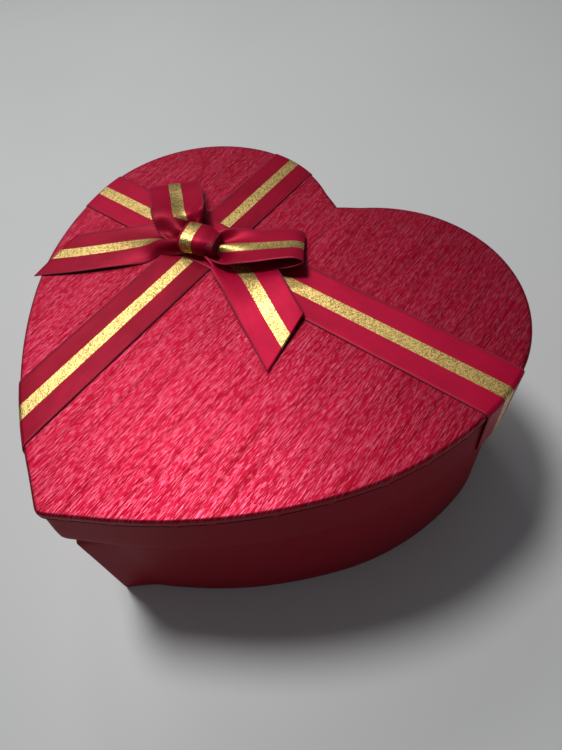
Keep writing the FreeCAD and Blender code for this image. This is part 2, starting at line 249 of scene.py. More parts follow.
# %% Fibre group
def new_group(name, inputs, outputs):
    """A node group with these sockets, its input node and its output node."""
    group = bpy.data.node_groups.new(name, "ShaderNodeTree")
    for socket, kind in inputs.items():
        group.interface.new_socket(socket, in_out="INPUT", socket_type=kind)
    for socket in outputs:
        group.interface.new_socket(socket, in_out="OUTPUT", socket_type="NodeSocketFloat")
    return group, group.nodes.new("NodeGroupInput"), group.nodes.new("NodeGroupOutput")


fibres, group_in, group_out = new_group(
    "fibres", {"Place": "NodeSocketVector", "Fineness": "NodeSocketFloat", "Cloudiness": "NodeSocketFloat"},
    ["Tone", "Relief"])
fine = add(fibres, "ShaderNodeTexNoise", {
    "Vector": group_in.outputs["Place"], "Scale": group_in.outputs["Fineness"],
    "Detail": 4.0, "Roughness": 0.65, "Distortion": 1.2}).outputs["Fac"]
cloudy = add(fibres, "ShaderNodeTexNoise", {
    "Vector": group_in.outputs["Place"], "Scale": group_in.outputs["Cloudiness"],
    "Detail": 2.0}).outputs["Fac"]
tone = math_node(fibres, "MULTIPLY_ADD", fine, 0.6, math_node(fibres, "MULTIPLY", cloudy, 0.4))
fibres.links.new(tone, group_out.inputs["Tone"])
fibres.links.new(fine, group_out.inputs["Relief"])


def fibre_group(tree, fineness, cloudiness):
    place = object_place(tree)
    inputs = {"Place": place, "Fineness": fineness, "Cloudiness": cloudiness}
    made = add(tree, "ShaderNodeGroup", inputs, node_tree=fibres)
    return made.outputs["Tone"], made.outputs["Relief"]


print("group:", fibres.name)

# %% [markdown]
# The lid's paper is a crinkled metallic red. Fine lines run along the heart's axis, about four tenths of a
# millimetre wide and a few centimetres long, with pale flecks of two millimetres among them. Stretched noise
# alone looks cloudy, so two nets of long thin cells give the lines and the flecks, each cell with a value of
# its own, and noise only softens the lines. On top the paper is nearly all metal, so it glows where a lamp
# is mirrored and is deep elsewhere. At the turned edge it is mostly plain red paper with little metal, and
# the fold below gets a painted shade, near black, from an attribute that the panel's mesh carries.

# %% Crinkled red paper
panel_low, panel_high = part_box("lid_top_wrap")
lid_top = panel_high.z
turned_edge = lid_top - 1.1 * MM
flat_top = lid_top - 0.3 * MM
flecks_per_metre = (6400, 520, 1)
lines_per_metre = (2600, 40, 1)
streaks_per_metre = (1000, 30, 300)
deep_red = (0.22, 0.002, 0.010, 1)
bright_red = (0.37, 0.007, 0.034, 1)
fleck_pink = (0.54, 0.12, 0.19, 1)
edge_red = (0.30, 0.003, 0.013, 1)
# painted shade, near black, for the fold under the lip
painted_fold_shade = (0.012, 0.0005, 0.001, 1)

crinkled, tree, shader = new_material("crinkled_red_paper", Specular_IOR_Level=0.1)
where = object_place(tree)
height = add(tree, "ShaderNodeSeparateXYZ", {"Vector": where}).outputs["Z"]
on_top = spread(tree, height, turned_edge, flat_top)
dashes = long_cells(tree, flecks_per_metre, where)
threads = long_cells(tree, lines_per_metre, where)
streaks = stretched_noise(tree, streaks_per_metre, 2.0, where)
lines = math_node(tree, "MULTIPLY_ADD", threads, 0.8, math_node(tree, "MULTIPLY", streaks, 0.2))
red = colour_mix(tree, spread(tree, lines, 0.15, 0.75), deep_red, bright_red)
fleck = math_node(
    tree, "MULTIPLY", spread(tree, dashes, 0.66, 0.92, 0.0, 0.66), spread(tree, lines, 0.25, 0.7, 0.6, 1.0))
red = colour_mix(tree, fleck, red, fleck_pink)
red = colour_mix(tree, on_top, edge_red, red)
# A painted shade, near black, fills the fold under the lid's edge, where the mesh's attribute says.
fold_shade_mask = carried(tree, "fold_shade")
red = colour_mix(tree, fold_shade_mask, red, painted_fold_shade)
metal = math_node(
    tree, "MULTIPLY", spread(tree, on_top, 0.0, 1.0, 0.3, 0.88), spread(tree, fold_shade_mask, 0.0, 1.0, 1.0, 0.0))
rough = math_node(tree, "MAXIMUM", spread(tree, fleck, 0.0, 1.0, 0.52, 0.34), fold_shade_mask)
feed(tree, shader, Base_Color=red, Roughness=rough, Metallic=metal)
bump(tree, shader, math_node(tree, "MULTIPLY", lines, on_top), 0.15, 0.0002)
print("material:", crinkled.name)

# %% [markdown]
# Rim and base are wrapped in a smooth maroon paper with a dull shine. Its fibres hardly show, but handling
# has left faint pale scuffs, which are the peaks of a noise stretched along the wall.

# %% Maroon paper
scuffs_per_metre = (60, 60, 520)
shaded_maroon = (0.245, 0.008, 0.019, 1)
lit_maroon = (0.315, 0.012, 0.026, 1)
scuff_pink = (0.50, 0.12, 0.13, 1)

maroon, tree, shader = new_material("maroon_paper", Specular_IOR_Level=0.04)
tone, relief = fibre_group(tree, fineness=900.0, cloudiness=40.0)
where = object_place(tree)
scuffs = stretched_noise(tree, scuffs_per_metre, 4.0, where)
scuffs = spread(tree, scuffs, 0.70, 0.80, 0.0, 0.3)
dark = colour_mix(tree, spread(tree, tone, 0.35, 0.65), shaded_maroon, lit_maroon)
dark = colour_mix(tree, scuffs, dark, scuff_pink)
feed(tree, shader, Base_Color=dark, Roughness=spread(tree, tone, 0.3, 0.7, 0.42, 0.56))
bump(tree, shader, relief, 0.12, 0.0002)
print("material:", maroon.name)

# %% [markdown]
# Boards, linings, tape and glue are inside, seen when the lid is lifted. Greyboard is pulp with dark and
# pale specks, the lining is an off-white paper, the tape is brown kraft, and the glue is milky. They differ
# only in colours and in how fine they are, so one function makes all four from the fibre group.

# %% Inner finishes
def paper_finish(name, first, second, fineness, cloudiness, roughness, relief_strength):
    material, tree, shader = new_material(name, Roughness=roughness)
    tone, relief = fibre_group(tree, fineness, cloudiness)
    feed(tree, shader, Base_Color=colour_mix(tree, spread(tree, tone, 0.32, 0.68), first, second))
    bump(tree, shader, relief, relief_strength, 0.0003)
    return material


greyboard = paper_finish(
    "greyboard", (0.20, 0.18, 0.15, 1), (0.42, 0.39, 0.34, 1),
    fineness=1400.0, cloudiness=120.0, roughness=0.9, relief_strength=0.4)
lining = paper_finish(
    "lining_paper", (0.70, 0.68, 0.62, 1), (0.82, 0.80, 0.75, 1),
    fineness=1100.0, cloudiness=30.0, roughness=0.75, relief_strength=0.2)
kraft = paper_finish(
    "gummed_tape", (0.36, 0.22, 0.11, 1), (0.50, 0.33, 0.18, 1),
    fineness=1300.0, cloudiness=60.0, roughness=0.55, relief_strength=0.2)
glue = paper_finish(
    "hot_melt_glue", (0.72, 0.62, 0.44, 1), (0.80, 0.74, 0.60, 1),
    fineness=300.0, cloudiness=200.0, roughness=0.25, relief_strength=0.1)
glue.node_tree.nodes["Principled BSDF"].inputs["Subsurface Weight"].default_value = 0.3
print("inner finishes:", [m.name for m in (greyboard, lining, kraft, glue)])

# %% [markdown]
# The satin ribbon is woven with a smooth face. Its map runs 0 to 1 across the ribbon and counts ribbon
# widths along it, so a foil stripe, the woven threads and the tiny loops of the selvage can all be drawn
# by formula. A group gives the satin's tone and relief, for the printed face and for the plain back. Satin
# changes its tone with the way a strip lies, more than a simple shader does, so each strip also carries a
# number for how light it looks: a painted sheen, set strip by strip.

# %% Satin group
ribbon_width = 25.0 * MM
stripe_width = 5.7 * MM
threads_across = 110.0
selvage_pitch = 0.82 * MM
selvage_starts = 0.472
selvage_strength = 0.7

satin, group_in, group_out = new_group(
    "satin_weave", {"Map": "NodeSocketVector"}, ["Tone", "Selvage", "Ditch", "Relief"])
parts = add(satin, "ShaderNodeSeparateXYZ", {"Vector": group_in.outputs["Map"]})
across, along = parts.outputs["X"], parts.outputs["Y"]
streak = stretched_noise(satin, (threads_across, 2.5, 1), 2.0, group_in.outputs["Map"])
drift = stretched_noise(satin, (1.6, 1.1, 1), 2.0, group_in.outputs["Map"])
tone = math_node(satin, "MULTIPLY_ADD", streak, 0.5, math_node(satin, "MULTIPLY", drift, 0.5))
satin.links.new(tone, group_out.inputs["Tone"])
edge = math_node(satin, "ABSOLUTE", math_node(satin, "SUBTRACT", across, 0.5))
border = math_node(satin, "GREATER_THAN", edge, selvage_starts)
teeth = math_node(satin, "SINE", math_node(satin, "MULTIPLY", along, math.tau * ribbon_width / selvage_pitch))
selvage = math_node(satin, "MULTIPLY", border, spread(satin, teeth, -0.4, 0.4))
satin.links.new(math_node(satin, "MULTIPLY", selvage, selvage_strength), group_out.inputs["Selvage"])
ditch = math_node(satin, "SUBTRACT", border, selvage)
satin.links.new(math_node(satin, "MULTIPLY", ditch, selvage_strength), group_out.inputs["Ditch"])
threads = math_node(satin, "SINE", math_node(satin, "MULTIPLY", across, math.tau * threads_across))
relief = math_node(satin, "MULTIPLY_ADD", threads, 0.12, math_node(satin, "MULTIPLY", selvage, 0.8))
satin.links.new(math_node(satin, "ADD", relief, streak), group_out.inputs["Relief"])
print("group:", satin.name)

# %% [markdown]
# On the face a foil stripe is hot-stamped down the middle. Foil on cloth is grainy: it follows the weave,
# so cell by cell it is brighter or darker, and here and there a speck is missing. An attribute, "foil",
# ends the stripe where a fold swallows it. The back of the ribbon is plain satin.

# %% Printed ribbon and its back
satin_gloss = {"Specular_IOR_Level": 0.1, "Anisotropic": 0.35}
satin_deep = (0.17, 0.001, 0.010, 1)
satin_bright = (0.52, 0.004, 0.045, 1)
selvage_pink = (0.60, 0.08, 0.14, 1)
ditch_dark = (0.05, 0.0005, 0.003, 1)
foil_dull = (0.29, 0.185, 0.047, 1)
foil_bright = (0.84, 0.615, 0.23, 1)
foil_missing = (0.16, 0.07, 0.02, 1)
foil_cells = 62.0
foil_raggedness = 0.012


def satin_colours(tree, weave):
    # The strip's painted sheen shifts the satin between its deep and its bright red.
    painted_sheen = carried(tree, "painted_sheen")
    tone = math_node(tree, "ADD", spread(tree, weave.outputs["Tone"], 0.3, 0.7, -0.25, 0.25), painted_sheen)
    red = colour_mix(tree, tone, satin_deep, satin_bright)
    red = colour_mix(tree, weave.outputs["Selvage"], red, selvage_pink)
    return colour_mix(tree, weave.outputs["Ditch"], red, ditch_dark)


def ribbon_map(tree):
    return add(tree, "ShaderNodeUVMap", uv_map="ribbon").outputs["UV"]


def across_threads(tree, shader):
    made = add(tree, "ShaderNodeTangent", direction_type="UV_MAP", uv_map="ribbon")
    tree.links.new(made.outputs["Tangent"], shader.inputs["Tangent"])


printed, tree, shader = new_material("striped_satin", **satin_gloss)
ribbon_uv = ribbon_map(tree)
weave = add(tree, "ShaderNodeGroup", {"Map": ribbon_uv}, node_tree=satin)
parts = add(tree, "ShaderNodeSeparateXYZ", {"Vector": ribbon_uv})
ragged = stretched_noise(tree, (70, 70, 1), 1.0, ribbon_uv)
off_centre = math_node(tree, "ABSOLUTE", math_node(tree, "SUBTRACT", parts.outputs["X"], 0.5))
off_centre = math_node(tree, "SUBTRACT", off_centre, foil_raggedness / 2)
off_centre = math_node(tree, "MULTIPLY_ADD", ragged, foil_raggedness, off_centre)
stripe = math_node(tree, "LESS_THAN", off_centre, stripe_width / ribbon_width / 2)
stamped = carried(tree, "foil")
stripe = math_node(tree, "MULTIPLY", stripe, math_node(tree, "GREATER_THAN", stamped, 0.5))
cells = add(tree, "ShaderNodeTexVoronoi", {"Vector": ribbon_uv, "Scale": foil_cells}).outputs["Color"]
grain = add(tree, "ShaderNodeSeparateColor", {"Color": cells}).outputs["Red"]
worn = stretched_noise(tree, (30, 30, 1), 4.0, ribbon_uv)
gold = colour_mix(tree, spread(tree, grain, 0.25, 0.75), foil_dull, foil_bright)
gold = colour_mix(tree, spread(tree, worn, 0.69, 0.74, 0.0, 0.8), gold, foil_missing)
face = colour_mix(tree, stripe, satin_colours(tree, weave), gold)
satin_rough = spread(tree, weave.outputs["Tone"], 0.3, 0.7, 0.50, 0.42)
gold_rough = spread(tree, grain, 0.0, 1.0, 0.46, 0.30)
rough = add(tree, "ShaderNodeMix", {"Factor": stripe, "A": satin_rough, "B": gold_rough}).outputs["Result"]
feed(tree, shader, Base_Color=face, Roughness=rough, Metallic=spread(tree, stripe, 0.0, 1.0, 0.3, 0.85))
across_threads(tree, shader)
relief = add(tree, "ShaderNodeMix", {"Factor": stripe, "A": weave.outputs["Relief"], "B": grain})
bump(tree, shader, relief.outputs["Result"], 0.2, 0.0002)

plain_back, tree, shader = new_material("satin_back", Roughness=0.5, Metallic=0.4, **satin_gloss)
weave = add(tree, "ShaderNodeGroup", {"Map": ribbon_map(tree)}, node_tree=satin)
feed(tree, shader, Base_Color=satin_colours(tree, weave))
across_threads(tree, shader)
bump(tree, shader, weave.outputs["Relief"], 0.2, 0.0002)
print("ribbon faces:", printed.name, plain_back.name)

# %% [markdown]
# The frame's own meshes that stay in view get these finishes. A CAD mesh is never changed, but its
# material slot may be.

# %% Finishes on the frame's own pieces
finish_of = {
    "greyboard": greyboard, "lining_paper": lining, "gummed_tape": kraft, "hot_melt_glue": glue,
    "maroon_paper": maroon, "crinkled_red_paper": crinkled,
}
slot_of = {part["node"]: part["material_slot"] for part in frame["record"]["subparts"]}
for node, piece in frame["nodes"].items():
    finish = finish_of.get(slot_of[node])
    if finish:
        piece.data.materials.clear()
        piece.data.materials.append(finish)
print("finished nodes:", sum(slot in finish_of for slot in slot_of.values()))

# %% [markdown]
# Every paper follows one heart. Its right half is four arcs, each running smoothly into the next: the
# lobe, the shoulder, the long side and the small round tip. The same construction as in the frame is used,
# and the width and length are read from it. A curve drawn by eye would do for one piece, but each paper
# lies at an offset of its own, and arcs stay arcs when they are offset.

# %% The heart
cleft_depth = 21.0 * MM
shoulder_radius = 128.0 * MM
shoulder_start = math.radians(6.0)
shoulder_sweep = math.radians(31.4)
tip_radius = 6.0 * MM

heart_width = panel_high.x - panel_low.x
heart_length = panel_high.y - panel_low.y


def unit(angle):
    return Vector((math.cos(angle), math.sin(angle), 0))


def heart_arcs():
    """Centre, radius, first angle and last angle of the arcs of the right half, from cleft to tip."""
    half = heart_width / 2
    lobe_radius = cleft_depth + half - math.sqrt(cleft_depth * heart_width)
    lobe = Vector((half - lobe_radius, heart_length / 2 - lobe_radius, 0))
    side_angle = -shoulder_start - shoulder_sweep
    shoulder = lobe + unit(-shoulder_start) * (lobe_radius - shoulder_radius)
    side_point = shoulder + unit(side_angle) * shoulder_radius
    tip = Vector((0, tip_radius - heart_length / 2, 0))
    span = side_point - tip
    side_radius = (span.dot(span) - tip_radius**2) / (2 * (span.dot(unit(side_angle)) - tip_radius))
    side = side_point - unit(side_angle) * side_radius
    tip_angle = math.atan2(tip.y - side.y, tip.x - side.x)
    return [
        (lobe, lobe_radius, math.acos(-lobe.x / lobe_radius), -shoulder_start),
        (shoulder, shoulder_radius, -shoulder_start, side_angle),
        (side, side_radius, side_angle, tip_angle),
        (tip, tip_radius, tip_angle, -math.pi / 2),
    ]


half_heart = heart_arcs()
print("arc radii in mm:", [round(radius / MM, 1) for centre, radius, first, last in half_heart])

# %% [markdown]
# A paper wrap has one section all the way round: over the panel's edge, or down a wall and in over its
# fold. The section is a line of offsets from the outline and heights, with its corners rounded as paper
# rounds a fold. Spin carries it along arc after arc, the half is cut at the axis, and mirror adds the other.
# A bevelled curve could sweep it too, but the sharp cleft would pinch its points.

# %% Sweeping a section round the heart
cut_tolerance = 1e-7
weld_distance = 1e-6
join_slack = 1e-4
overshoot = math.radians(1)


def straight_run(start, stop, step):
    """Points from start, without it, to stop, about a step apart."""
    count = max(1, round((stop - start).length / step))
    return [start.lerp(stop, n / count) for n in range(1, count + 1)]


def rounded_path(corners, radii, step, corner_segments=8):
    """A path through corners in a plane, its inner corners rounded, as points about a step apart."""
    points = [Vector(corner) for corner in corners]
    path = [points[0]]
    for before, corner, after, radius in zip(points, points[1:], points[2:], radii):
        back = (before - corner).normalized()
        onward = (after - corner).normalized()
        half = back.angle(onward) / 2
        reach = radius / math.tan(half)
        first, last = corner + back * reach, corner + onward * reach
        centre = corner + (back + onward).normalized() * (radius / math.sin(half))
        path += straight_run(path[-1], first, step)
        start, stop = first - centre, last - centre
        for n in range(1, corner_segments + 1):
            path.append(centre + start.slerp(stop, n / corner_segments) * radius)
    return path + straight_run(path[-1], points[-1], step)


def whole(bm):
    return bm.verts[:] + bm.edges[:] + bm.faces[:]


def heart_sweep(section, step):
    """A bmesh of a section of offsets and heights, swept round the heart in steps."""
    bm = bmesh.new()
    lobe, lobe_radius = half_heart[0][:2]
    deepest = min(offset for offset, height in section)
    start = math.acos(-lobe.x / (lobe_radius + deepest)) + overshoot
    geom = [bm.verts.new(lobe + unit(start) * (lobe_radius + x) + Vector((0, 0, z))) for x, z in section]
    geom += [bm.edges.new(pair) for pair in zip(geom, geom[1:])]
    for n, (centre, radius, first, last) in enumerate(half_heart):
        begin = first if n else start
        steps = max(4, round(radius * (begin - last) / step))
        turned = bmesh.ops.spin(bm, geom=geom, cent=centre, axis=(0, 0, 1), angle=last - begin, steps=steps)
        geom = turned["geom_last"]
    bmesh.ops.bisect_plane(
        bm, geom=whole(bm), dist=cut_tolerance, plane_co=(0, 0, 0), plane_no=(1, 0, 0), clear_inner=True)
    bmesh.ops.mirror(bm, geom=whole(bm), matrix=Matrix(), merge_dist=weld_distance, axis="X")
    bmesh.ops.remove_doubles(bm, verts=bm.verts, dist=weld_distance)
    bmesh.ops.recalc_face_normals(bm, faces=bm.faces)
    return bm


def along_heart(spot):
    """How far from the cleft along the outline a spot lies, how far outside it, and the outward direction."""
    passed = 0.0
    side = math.copysign(1, spot.x)
    for centre, radius, first, last in half_heart:
        reach = Vector((abs(spot.x), spot.y, 0)) - centre
        angle = math.atan2(reach.y, reach.x)
        if angle > last - join_slack:
            break
        passed += radius * (first - last)
    outward = Vector((math.cos(angle) * side, math.sin(angle), 0))
    return passed + radius * (first - angle), reach.length - radius, outward


def thin_piece(name, bm, finishes, thickness):
    """A thin piece from its outer skin. Solidify adds its thickness inwards, with the last finish inside."""
    piece = object_of(name, bm)
    piece.data.shade_smooth()
    for finish in finishes:
        piece.data.materials.append(finish)
    thick = piece.modifiers.new("thickness", "SOLIDIFY")
    thick.thickness = thickness
    thick.offset = -1.0
    thick.material_offset = len(finishes) - 1
    thick.material_offset_rim = len(finishes) - 1
    return piece


def paper_piece(name, bm, finish, thickness, body, replaced):
    piece = thin_piece(name, bm, [finish], thickness)
    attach(piece, body)
    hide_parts(*replaced)
    print(name, "faces:", len(piece.data.polygons))


def eased(value, low, high):
    """0 at low, 1 at high, smooth between."""
    share = min(max((value - low) / (high - low), 0.0), 1.0)
    return share * share * (3 - 2 * share)


print("points of a rounded square corner:", len(rounded_path([(0, 0), (0, 9), (9, 9)], [3], 2)))

# %% [markdown]
# The panel's paper is turned under in tabs, with a snip between each two, and hangs below its board as a
# small lip. The edge is therefore never quite straight: it bulges a little, rises between the snips, and at
# each snip a corner of paper peeks out below. Noise and one nub per snip move the swept edge by tenths of a
# millimetre. Light hardly gets into the fold under the lip, so a vertex attribute marks a painted shade
# there, reaching less far up at each nub. At the heart's tip the gathered paper pushes the corner out, and in
# the cleft the taut paper bridges the notch.

# %% Lid panel paper
panel_bottom = panel_low.z
panel_turn = 4.5 * MM
panel_folds = [0.1 * MM, 0.3 * MM, 0.2 * MM, 1.2 * MM]
panel_thickness = 0.25 * MM
lip_depth = 0.7 * MM
lip_low = panel_bottom - 1.7 * MM
snip_pitch = 18.0 * MM
snip_unevenness = 0.3
nub_width = 1.5 * MM
edge_begins, edge_full = -3.0 * MM, -0.8 * MM
lip_full, lip_gone = lip_low + 0.6 * MM, lip_low + 1.6 * MM
edge_waves_per_metre, lip_waves_per_metre = 55, 300
shade_full, shade_gone = lip_low + 0.9 * MM, lip_low + 1.25 * MM
nub_full_cut, nub_gone_cut = 0.45 * MM, 0.5 * MM
edge_bulge = 0.08 * MM
nub_bulge = 0.25 * MM
nub_drop = 0.5 * MM
lip_rise = 0.2 * MM
lip_wave = 0.12 * MM
end_zone = 60.0 * MM
tip_push = 1.3 * MM
tip_push_span = 16.0 * MM
bridge_span = 11.0 * MM
bridge_depth = 3.6 * MM
crease_sharpness = 1.5


def snip_nub(passed):
    """1 at a snip, falling to 0 beside it."""
    place = passed / snip_pitch
    shift = snip_unevenness * noise.noise(Vector((round(place) * 3.7, 0.5, 0)))
    apart = (place - round(place) - shift) * snip_pitch
    return math.exp(-(apart / nub_width) ** 2)


def axis_share(spot, span):
    """1 on the heart's axis, falling to 0 a span to either side."""
    return max(0.0, 1 - abs(spot.x) / span) ** crease_sharpness


def tip_share(spot, span):
    return axis_share(spot, span) if spot.y < -end_zone else 0.0


def cleft_share(spot):
    return axis_share(spot, bridge_span) if spot.y > end_zone else 0.0


panel_section = rounded_path(
    [(-panel_turn, panel_bottom), (-lip_depth, panel_bottom), (-lip_depth, lip_low), (0, lip_low),
     (0, lid_top), (-panel_turn, lid_top)],
    panel_folds, step=0.6 * MM, corner_segments=5)
panel_bm = heart_sweep(panel_section, step=1.0 * MM)
top_loop = [
    edge for edge in panel_bm.edges if edge.is_boundary and edge.verts[0].co.z > lid_top - weld_distance]
bmesh.ops.contextual_create(panel_bm, geom=top_loop)
fold_shade = panel_bm.verts.layers.float.new("fold_shade")
for vert in panel_bm.verts:
    passed, offset, outward = along_heart(vert.co)
    nub = snip_nub(passed)
    edge = eased(offset, edge_begins, edge_full)
    low = edge * (1 - eased(vert.co.z, lip_full, lip_gone))
    flat = vert.co * edge_waves_per_metre
    wave = noise.noise(Vector((flat.x, flat.y, vert.co.z * lip_waves_per_metre)))
    pull = tip_push * tip_share(vert.co, tip_push_span)
    # painted shade in the fold under the lip, reaching less far up at a nub
    vert[fold_shade] = 1 - eased(
        vert.co.z, shade_full - nub_full_cut * nub, shade_gone - nub_gone_cut * nub)
    vert.co += outward * (edge_bulge * wave * edge + nub_bulge * nub * low)
    vert.co.z += (lip_rise + lip_wave * wave - nub_drop * nub) * low
    vert.co.y += bridge_depth * cleft_share(vert.co) - pull
paper_piece(
    "lid_top_paper", panel_bm, crinkled, panel_thickness, "lid", ["lid_top_wrap"])

# %% [markdown]
# The rim's paper goes down the outside, round the lower edge and up inside. The base's paper comes from
# under the foot, goes up the wall, round the top edge and down inside. Both are drawn over board that is
# not perfectly even, so slow noise moves them a little. Where the strip is creased at the heart's tip, the
# crease stands out. On the rim it leans to the left and is strongest at the lower edge. On the base it
# points straight ahead, is strongest at the foot and stops where the rim slides over it. The rim's paper
# bridges the cleft as the panel's does.

# %% Rim and base paper
rim_low, rim_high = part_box("lid_rim_wrap")
base_low, base_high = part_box("base_wall_wrap")
rim_bottom = rim_low.z
rim_insets = (2.3 * MM, 0.8 * MM, 2.6 * MM)
base_insets = (5.6 * MM, 3.52 * MM, 5.62 * MM)
rim_folds = [0.9 * MM, 0.5 * MM, 0.5 * MM]
base_folds = [0.6 * MM, 0.5 * MM, 0.5 * MM]
turn_in = 14.0 * MM
wall_paper_thickness = 0.22 * MM
board_unevenness = 0.11 * MM
board_waves_per_metre, board_dents_per_metre = 28, 90
crease_span = 13.0 * MM
rim_crease_low, rim_crease_high = 4.6 * MM, 2.0 * MM
rim_crease_way = Vector((-0.8, -0.6, 0))
base_crease_foot, base_crease_loss = 4.2 * MM, 0.8 * MM
base_crease_in_lid = 0.36 * MM
base_crease_fade = 5.0 * MM
base_crease_way = Vector((0, -1, 0))


def wall_section(insets, start, stop, turn_end, folds, step):
    """From the first inset to the wall, along it from start to stop, and back inside to turn_end."""
    hidden, wall, turned = insets
    corners = [(-hidden, start), (-wall, start), (-wall, stop), (-turned, stop), (-turned, turn_end)]
    return rounded_path(corners, folds, step, corner_segments=4)


def rim_crease(height):
    return rim_crease_low + (rim_crease_high - rim_crease_low) * eased(height, rim_bottom, rim_high.z)


def base_crease(height):
    below_rim = 1 - eased(height, rim_bottom - base_crease_fade, rim_bottom)
    return base_crease_in_lid + (base_crease_foot - base_crease_loss * height / rim_bottom) * below_rim


def drawn_over_board(bm, insets, crease, crease_way, bridge=0.0):
    """Make a wall's outer paper slightly uneven, crease it at the tip and let it bridge the cleft.

    crease(height) says how far the crease goes along crease_way.
    """
    wall, turned = insets[1:]
    for vert in bm.verts:
        offset, outward = along_heart(vert.co)[1:]
        outside = eased(offset, -turned, -wall)
        wave = noise.noise(vert.co * board_waves_per_metre)
        wave += 0.4 * noise.noise(vert.co * board_dents_per_metre)
        pull = crease(vert.co.z) * outside * tip_share(vert.co, crease_span)
        vert.co += outward * (board_unevenness * wave * outside)
        vert.co += crease_way * pull
        vert.co.y += bridge * outside * cleft_share(vert.co)


rim_section = wall_section(rim_insets, rim_high.z, rim_bottom, rim_bottom + turn_in, rim_folds, 3 * MM)
rim_bm = heart_sweep(rim_section, step=1.5 * MM)
drawn_over_board(rim_bm, rim_insets, rim_crease, rim_crease_way, bridge_depth)
paper_piece(
    "lid_rim_paper", rim_bm, maroon, wall_paper_thickness, "lid", ["lid_rim_wrap"])
base_section = wall_section(
    base_insets, base_low.z, base_high.z, base_high.z - turn_in, base_folds, 4 * MM)
base_bm = heart_sweep(base_section, step=1.6 * MM)
drawn_over_board(base_bm, base_insets, base_crease, base_crease_way)
paper_piece(
    "base_wall_paper", base_bm, maroon, wall_paper_thickness, "base", ["base_wall_wrap"])

# %% [markdown]
# A ribbon is one strip: a flat grid, bent into place by a rule that says where a point lies from how far
# across and how far along the strip it is. The map keeps those two numbers, and a Solidify modifier gives
# the cloth its thickness, with the printed face outside and the plain back inside. Each strip carries its
# painted sheen. Where a strip is tucked into a fold, its stripe ends and a painted shade darkens it, on a
# slant across the strip.

# %% Ribbon strip
ribbon_thickness = 0.35 * MM
across_points = 20
tuck_skew = 0.8
tuck_shade = 0.75


def run_lengths(line):
    """How far along a line of points each one lies."""
    lengths = [0.0]
    for before, point in zip(line, line[1:]):
        lengths.append(lengths[-1] + (point - before).length)
    return lengths


def square_rows(lengths):
    """Rows that lie straight across a strip, each point as far along as the row's middle."""
    return [[length] * (across_points + 1) for length in lengths]


def ribbon_piece(
        name, rows, place, along, replaced, painted_sheen, tucked_row=None):
    """A strip of ribbon. place(i, k) is the point i across in row k, along[k][i] how far along it lies."""
    bm = bmesh.new()
    ribbon_uv = bm.loops.layers.uv.new("ribbon")
    painted_sheen_layer = bm.verts.layers.float.new("painted_sheen")
    foil_layer = bm.verts.layers.float.new("foil")
    bmesh.ops.create_grid(bm, x_segments=across_points, y_segments=rows, size=0.5)
    spots = {}
    for vert in bm.verts:
        i = round((vert.co.x + 0.5) * across_points)
        k = round((vert.co.y + 0.5) * rows)
        spots[vert] = (i, k)
        tucked = 0.0
        if tucked_row:
            skewed = k + tuck_skew * (i - across_points / 2)
            tucked = eased(skewed, tucked_row - 1, tucked_row + 1)
        vert[foil_layer] = 1 - tucked
        # the strip's painted sheen, darkened by a painted shade where it is tucked into a fold
        vert[painted_sheen_layer] = painted_sheen * (1 - tuck_shade * tucked)
        vert.co = place(i, k)
    for face in bm.faces:
        for loop in face.loops:
            i, k = spots[loop.vert]
            loop[ribbon_uv].uv = (i / across_points, along[k][i] / ribbon_width)
    piece = thin_piece(name, bm, [printed, plain_back], ribbon_thickness)
    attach(piece, "lid")
    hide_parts(*replaced)
    longest = max(along[-1])
    print(name, "flat length in mm:", round(longest / MM, 1))


print("ribbon width and thickness in mm:", round(ribbon_width / MM, 2), round(ribbon_thickness / MM, 2))

# %% [markdown]
# The two long ribbons lie flat on the lid, bend over its edge, run down the rim and turn under it. Folded
# over an edge that lies aslant, a flat ribbon runs down at the mirrored slant, so it leans. Each end is
# drawn as a path seen from the side, with its corners rounded, and each thread of the ribbon follows that
# path from where it meets the heart's outline.

# %% Paths of the long ribbons
lengthwise_x = -36.7 * MM
cross_y = 30.8 * MM
lying_gap = 0.42 * MM
top_run = 4.0 * MM
end_stand_off = 0.7 * MM
lean_starts = lid_top - 1.0 * MM
turn_gap = 0.5 * MM
tuck_height = 10.0 * MM
tuck_inset = 2.83 * MM
end_folds = [1.1 * MM, 1.1 * MM, 2.0 * MM]
touch_slack = 1e-6


def outline_at(axis, value, offset, far):
    """Where the outline, grown by offset, has this x (axis 0) or y (axis 1), and the outward normal there.

    far picks the end at the larger coordinate along the other axis.
    """
    found = []
    for centre, radius, first, last in half_heart:
        ratio = (abs(value) if axis == 0 else value) - centre[axis]
        ratio /= radius + offset
        if abs(ratio) > 1:
            continue
        angles = (math.acos(ratio), -math.acos(ratio)) if axis == 0 else (math.asin(ratio),)
        for angle in angles:
            if last - touch_slack <= angle <= first + touch_slack:
                found.append((centre[1 - axis] + (radius + offset) * unit(angle)[1 - axis], unit(angle)))
    side = math.copysign(1, value) if axis == 0 else (1 if far else -1)
    place, normal = (max if far or axis == 1 else min)(found, key=lambda pair: pair[0])
    if axis == 1:
        place *= side
    return place, Vector((normal.x * side, normal.y, 0))


